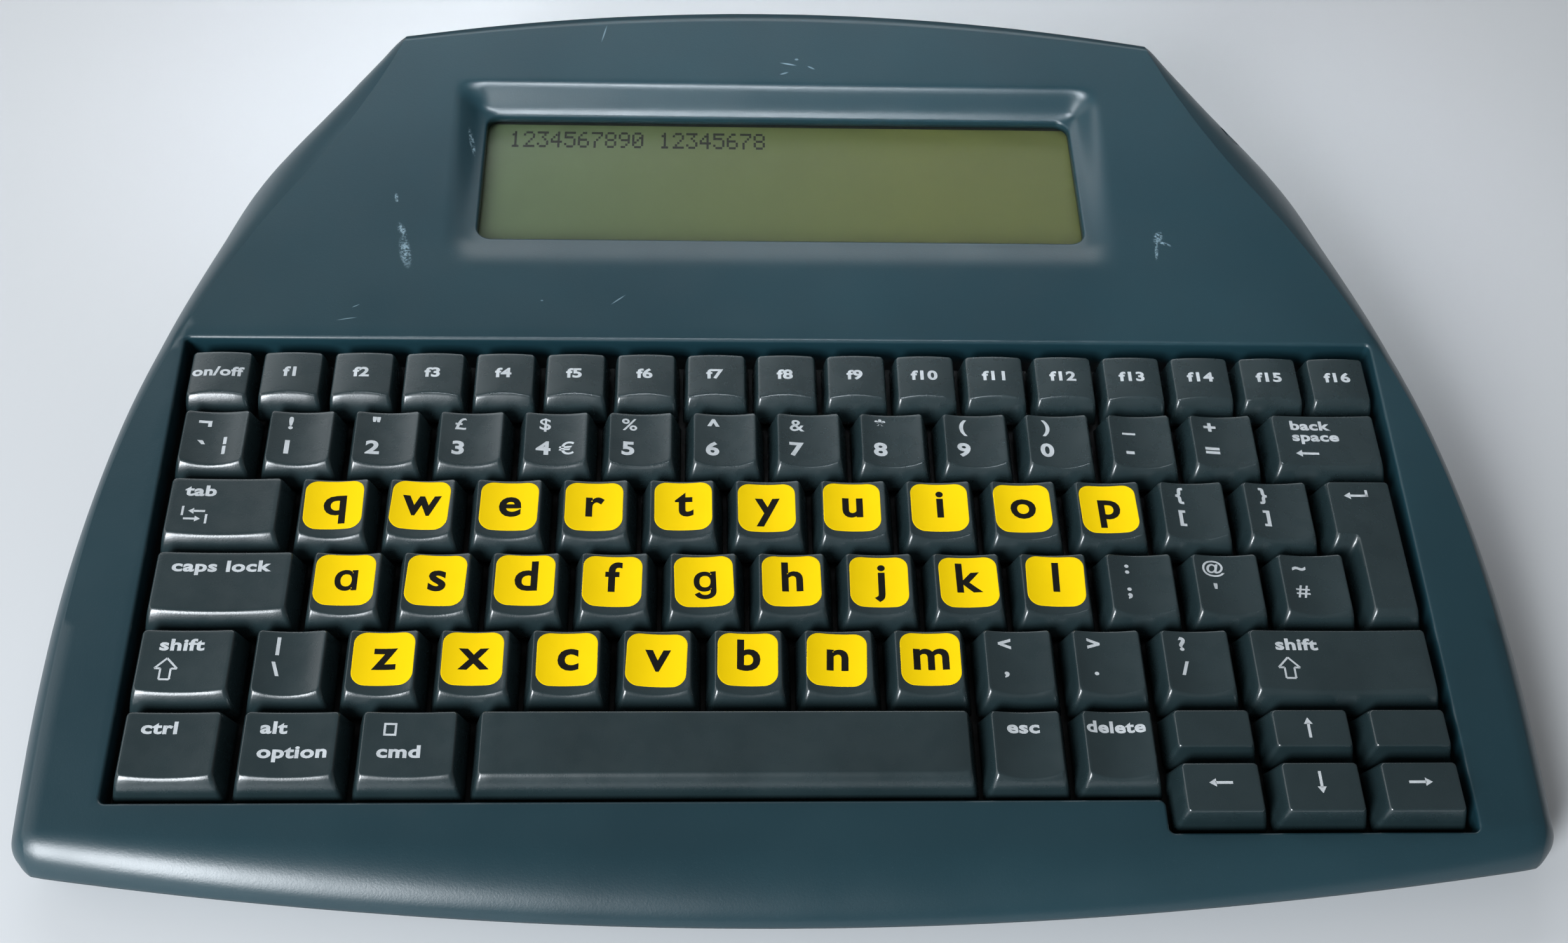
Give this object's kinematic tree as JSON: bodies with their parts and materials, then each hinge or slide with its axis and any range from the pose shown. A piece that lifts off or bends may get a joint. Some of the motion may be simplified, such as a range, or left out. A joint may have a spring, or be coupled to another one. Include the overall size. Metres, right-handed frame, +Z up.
{
  "type": "electronic word processor",
  "caption": "Wedge-shaped desk word processor: full keyboard in a sunk well, narrow display in a scooped recess, rounded case with ports on the rear edge.",
  "frame": {"origin": "middle of the plan outline on the surface the feet stand on", "axes": "+X to the user's right, +Y from the user towards the rear edge, +Z up"},
  "size_m": [0.3164, 0.243, 0.0493],
  "materials": {
    "case_plastic": "fine moulded texture, satin",
    "key_plastic": "fine spark texture, worn smooth on the tops",
    "clear_cover": "clear moulded cover",
    "display_glass": "reflective display glass",
    "plated_steel": "plated sheet",
    "circuit_board": "solder mask",
    "port_plastic": "smooth black",
    "dark_window": "polished, infra-red clear",
    "frame_plastic": "moulded",
    "dome_rubber": "moulded silicone",
    "film": "printed film",
    "cell_sleeve": "printed metal sleeve",
    "foot_rubber": "moulded, matt",
    "screw_steel": "zinc plated",
    "button_plastic": "moulded"
  },
  "bodies": {
    "case": {"top_case": "case_plastic", "bottom_case": "case_plastic", "screen_lens": "clear_cover", "lcd_panel": "display_glass", "lcd_frame": "plated_steel", "main_board": "circuit_board", "usb_b_port": "plated_steel", "usb_a_port": "plated_steel", "dc_jack": "port_plastic", "ir_window": "dark_window", "key_frame": "frame_plastic", "dome_sheet": "dome_rubber", "membrane": "film", "key_backplate": "plated_steel", "batteries": "cell_sleeve", "battery_contacts": "plated_steel", "rubber_feet": "foot_rubber", "case_screws": "screw_steel", "flat_cables": "film"},
    "battery_door": {"battery_door": "case_plastic"},
    "reset_button": {"reset_button": "button_plastic"},
    "space_stabiliser": {"space_stabiliser": "plated_steel"},
    "key_q": {"key_q": "key_plastic"},
    "key_w": {"key_w": "key_plastic"},
    "key_e": {"key_e": "key_plastic"},
    "key_r": {"key_r": "key_plastic"},
    "key_t": {"key_t": "key_plastic"},
    "key_y": {"key_y": "key_plastic"},
    "key_u": {"key_u": "key_plastic"},
    "key_i": {"key_i": "key_plastic"},
    "key_o": {"key_o": "key_plastic"},
    "key_p": {"key_p": "key_plastic"},
    "key_a": {"key_a": "key_plastic"},
    "key_s": {"key_s": "key_plastic"},
    "key_d": {"key_d": "key_plastic"},
    "key_f": {"key_f": "key_plastic"},
    "key_g": {"key_g": "key_plastic"},
    "key_h": {"key_h": "key_plastic"},
    "key_j": {"key_j": "key_plastic"},
    "key_k": {"key_k": "key_plastic"},
    "key_l": {"key_l": "key_plastic"},
    "key_z": {"key_z": "key_plastic"},
    "key_x": {"key_x": "key_plastic"},
    "key_c": {"key_c": "key_plastic"},
    "key_v": {"key_v": "key_plastic"},
    "key_b": {"key_b": "key_plastic"},
    "key_n": {"key_n": "key_plastic"},
    "key_m": {"key_m": "key_plastic"},
    "space_bar": {"space_bar": "key_plastic"},
    "enter_key": {"enter_key": "key_plastic"},
    "backspace_key": {"backspace_key": "key_plastic"},
    "tab_key": {"tab_key": "key_plastic"},
    "caps_lock_key": {"caps_lock_key": "key_plastic"},
    "left_shift_key": {"left_shift_key": "key_plastic"},
    "right_shift_key": {"right_shift_key": "key_plastic"},
    "function_keys": {"function_keys": "key_plastic"},
    "number_keys": {"number_keys": "key_plastic"},
    "symbol_keys": {"symbol_keys": "key_plastic"},
    "modifier_keys": {"modifier_keys": "key_plastic"},
    "arrow_keys": {"arrow_keys": "key_plastic"}
  },
  "joints": [
    {"name": "key_q_press", "type": "slide", "parent": "case", "child": "key_q", "axis": [0, 0.0958, -0.9954], "range_m": [0, 0.0028], "stiffness_N_per_m": 120, "springref_m": -0.0035, "deforming": ["dome_sheet"]},
    {"name": "key_w_press", "type": "slide", "parent": "case", "child": "key_w", "axis": [0, 0.0958, -0.9954], "range_m": [0, 0.0028], "stiffness_N_per_m": 120, "springref_m": -0.0035, "deforming": ["dome_sheet"]},
    {"name": "key_e_press", "type": "slide", "parent": "case", "child": "key_e", "axis": [0, 0.0958, -0.9954], "range_m": [0, 0.0028], "stiffness_N_per_m": 120, "springref_m": -0.0035, "deforming": ["dome_sheet"]},
    {"name": "key_r_press", "type": "slide", "parent": "case", "child": "key_r", "axis": [0, 0.0958, -0.9954], "range_m": [0, 0.0028], "stiffness_N_per_m": 120, "springref_m": -0.0035, "deforming": ["dome_sheet"]},
    {"name": "key_t_press", "type": "slide", "parent": "case", "child": "key_t", "axis": [0, 0.0958, -0.9954], "range_m": [0, 0.0028], "stiffness_N_per_m": 120, "springref_m": -0.0035, "deforming": ["dome_sheet"]},
    {"name": "key_y_press", "type": "slide", "parent": "case", "child": "key_y", "axis": [0, 0.0958, -0.9954], "range_m": [0, 0.0028], "stiffness_N_per_m": 120, "springref_m": -0.0035, "deforming": ["dome_sheet"]},
    {"name": "key_u_press", "type": "slide", "parent": "case", "child": "key_u", "axis": [0, 0.0958, -0.9954], "range_m": [0, 0.0028], "stiffness_N_per_m": 120, "springref_m": -0.0035, "deforming": ["dome_sheet"]},
    {"name": "key_i_press", "type": "slide", "parent": "case", "child": "key_i", "axis": [0, 0.0958, -0.9954], "range_m": [0, 0.0028], "stiffness_N_per_m": 120, "springref_m": -0.0035, "deforming": ["dome_sheet"]},
    {"name": "key_o_press", "type": "slide", "parent": "case", "child": "key_o", "axis": [0, 0.0958, -0.9954], "range_m": [0, 0.0028], "stiffness_N_per_m": 120, "springref_m": -0.0035, "deforming": ["dome_sheet"]},
    {"name": "key_p_press", "type": "slide", "parent": "case", "child": "key_p", "axis": [0, 0.0958, -0.9954], "range_m": [0, 0.0028], "stiffness_N_per_m": 120, "springref_m": -0.0035, "deforming": ["dome_sheet"]},
    {"name": "key_a_press", "type": "slide", "parent": "case", "child": "key_a", "axis": [0, 0.0958, -0.9954], "range_m": [0, 0.0028], "stiffness_N_per_m": 120, "springref_m": -0.0035, "deforming": ["dome_sheet"]},
    {"name": "key_s_press", "type": "slide", "parent": "case", "child": "key_s", "axis": [0, 0.0958, -0.9954], "range_m": [0, 0.0028], "stiffness_N_per_m": 120, "springref_m": -0.0035, "deforming": ["dome_sheet"]},
    {"name": "key_d_press", "type": "slide", "parent": "case", "child": "key_d", "axis": [0, 0.0958, -0.9954], "range_m": [0, 0.0028], "stiffness_N_per_m": 120, "springref_m": -0.0035, "deforming": ["dome_sheet"]},
    {"name": "key_f_press", "type": "slide", "parent": "case", "child": "key_f", "axis": [0, 0.0958, -0.9954], "range_m": [0, 0.0028], "stiffness_N_per_m": 120, "springref_m": -0.0035, "deforming": ["dome_sheet"]},
    {"name": "key_g_press", "type": "slide", "parent": "case", "child": "key_g", "axis": [0, 0.0958, -0.9954], "range_m": [0, 0.0028], "stiffness_N_per_m": 120, "springref_m": -0.0035, "deforming": ["dome_sheet"]},
    {"name": "key_h_press", "type": "slide", "parent": "case", "child": "key_h", "axis": [0, 0.0958, -0.9954], "range_m": [0, 0.0028], "stiffness_N_per_m": 120, "springref_m": -0.0035, "deforming": ["dome_sheet"]},
    {"name": "key_j_press", "type": "slide", "parent": "case", "child": "key_j", "axis": [0, 0.0958, -0.9954], "range_m": [0, 0.0028], "stiffness_N_per_m": 120, "springref_m": -0.0035, "deforming": ["dome_sheet"]},
    {"name": "key_k_press", "type": "slide", "parent": "case", "child": "key_k", "axis": [0, 0.0958, -0.9954], "range_m": [0, 0.0028], "stiffness_N_per_m": 120, "springref_m": -0.0035, "deforming": ["dome_sheet"]},
    {"name": "key_l_press", "type": "slide", "parent": "case", "child": "key_l", "axis": [0, 0.0958, -0.9954], "range_m": [0, 0.0028], "stiffness_N_per_m": 120, "springref_m": -0.0035, "deforming": ["dome_sheet"]},
    {"name": "key_z_press", "type": "slide", "parent": "case", "child": "key_z", "axis": [0, 0.0958, -0.9954], "range_m": [0, 0.0028], "stiffness_N_per_m": 120, "springref_m": -0.0035, "deforming": ["dome_sheet"]},
    {"name": "key_x_press", "type": "slide", "parent": "case", "child": "key_x", "axis": [0, 0.0958, -0.9954], "range_m": [0, 0.0028], "stiffness_N_per_m": 120, "springref_m": -0.0035, "deforming": ["dome_sheet"]},
    {"name": "key_c_press", "type": "slide", "parent": "case", "child": "key_c", "axis": [0, 0.0958, -0.9954], "range_m": [0, 0.0028], "stiffness_N_per_m": 120, "springref_m": -0.0035, "deforming": ["dome_sheet"]},
    {"name": "key_v_press", "type": "slide", "parent": "case", "child": "key_v", "axis": [0, 0.0958, -0.9954], "range_m": [0, 0.0028], "stiffness_N_per_m": 120, "springref_m": -0.0035, "deforming": ["dome_sheet"]},
    {"name": "key_b_press", "type": "slide", "parent": "case", "child": "key_b", "axis": [0, 0.0958, -0.9954], "range_m": [0, 0.0028], "stiffness_N_per_m": 120, "springref_m": -0.0035, "deforming": ["dome_sheet"]},
    {"name": "key_n_press", "type": "slide", "parent": "case", "child": "key_n", "axis": [0, 0.0958, -0.9954], "range_m": [0, 0.0028], "stiffness_N_per_m": 120, "springref_m": -0.0035, "deforming": ["dome_sheet"]},
    {"name": "key_m_press", "type": "slide", "parent": "case", "child": "key_m", "axis": [0, 0.0958, -0.9954], "range_m": [0, 0.0028], "stiffness_N_per_m": 120, "springref_m": -0.0035, "deforming": ["dome_sheet"]},
    {"name": "space_bar_press", "type": "slide", "parent": "case", "child": "space_bar", "axis": [0, 0.0958, -0.9954], "range_m": [0, 0.0028], "stiffness_N_per_m": 360, "springref_m": -0.0035, "deforming": ["dome_sheet"]},
    {"name": "enter_key_press", "type": "slide", "parent": "case", "child": "enter_key", "axis": [0, 0.0958, -0.9954], "range_m": [0, 0.0028], "stiffness_N_per_m": 120, "springref_m": -0.0035, "deforming": ["dome_sheet"]},
    {"name": "backspace_key_press", "type": "slide", "parent": "case", "child": "backspace_key", "axis": [0, 0.0958, -0.9954], "range_m": [0, 0.0028], "stiffness_N_per_m": 120, "springref_m": -0.0035, "deforming": ["dome_sheet"]},
    {"name": "tab_key_press", "type": "slide", "parent": "case", "child": "tab_key", "axis": [0, 0.0958, -0.9954], "range_m": [0, 0.0028], "stiffness_N_per_m": 120, "springref_m": -0.0035, "deforming": ["dome_sheet"]},
    {"name": "caps_lock_key_press", "type": "slide", "parent": "case", "child": "caps_lock_key", "axis": [0, 0.0958, -0.9954], "range_m": [0, 0.0028], "stiffness_N_per_m": 120, "springref_m": -0.0035, "deforming": ["dome_sheet"]},
    {"name": "left_shift_key_press", "type": "slide", "parent": "case", "child": "left_shift_key", "axis": [0, 0.0958, -0.9954], "range_m": [0, 0.0028], "stiffness_N_per_m": 120, "springref_m": -0.0035, "deforming": ["dome_sheet"]},
    {"name": "right_shift_key_press", "type": "slide", "parent": "case", "child": "right_shift_key", "axis": [0, 0.0958, -0.9954], "range_m": [0, 0.0028], "stiffness_N_per_m": 120, "springref_m": -0.0035, "deforming": ["dome_sheet"]},
    {"name": "function_keys_press", "type": "slide", "parent": "case", "child": "function_keys", "axis": [0, 0.0958, -0.9954], "range_m": [0, 0.0028], "stiffness_N_per_m": 2040, "springref_m": -0.0035, "deforming": ["dome_sheet"]},
    {"name": "number_keys_press", "type": "slide", "parent": "case", "child": "number_keys", "axis": [0, 0.0958, -0.9954], "range_m": [0, 0.0028], "stiffness_N_per_m": 1560, "springref_m": -0.0035, "deforming": ["dome_sheet"]},
    {"name": "symbol_keys_press", "type": "slide", "parent": "case", "child": "symbol_keys", "axis": [0, 0.0958, -0.9954], "range_m": [0, 0.0028], "stiffness_N_per_m": 1080, "springref_m": -0.0035, "deforming": ["dome_sheet"]},
    {"name": "modifier_keys_press", "type": "slide", "parent": "case", "child": "modifier_keys", "axis": [0, 0.0958, -0.9954], "range_m": [0, 0.0028], "stiffness_N_per_m": 600, "springref_m": -0.0035, "deforming": ["dome_sheet"]},
    {"name": "arrow_keys_press", "type": "slide", "parent": "case", "child": "arrow_keys", "axis": [0, 0.0958, -0.9954], "range_m": [0, 0.0028], "stiffness_N_per_m": 720, "springref_m": -0.0035, "deforming": ["dome_sheet"]},
    {"name": "space_stabiliser_turn", "type": "hinge", "parent": "case", "child": "space_stabiliser", "pos_m": [-0.01429, -0.08207, 0.0125], "axis": [1, 0, 0], "range_deg": [0, 16.46]},
    {"name": "battery_door_slide", "type": "slide", "parent": "case", "child": "battery_door", "axis": [0, 1, 0], "range_m": [0, 0.006]},
    {"name": "reset_button_press", "type": "slide", "parent": "case", "child": "reset_button", "axis": [0, 0, 1], "range_m": [0, 0.0008], "stiffness_N_per_m": 300, "springref_m": -0.0008}
  ],
  "couplings": [
    {"joint": "space_stabiliser_turn", "follows": "space_bar_press", "rad_per_m": 101.36}
  ]
}
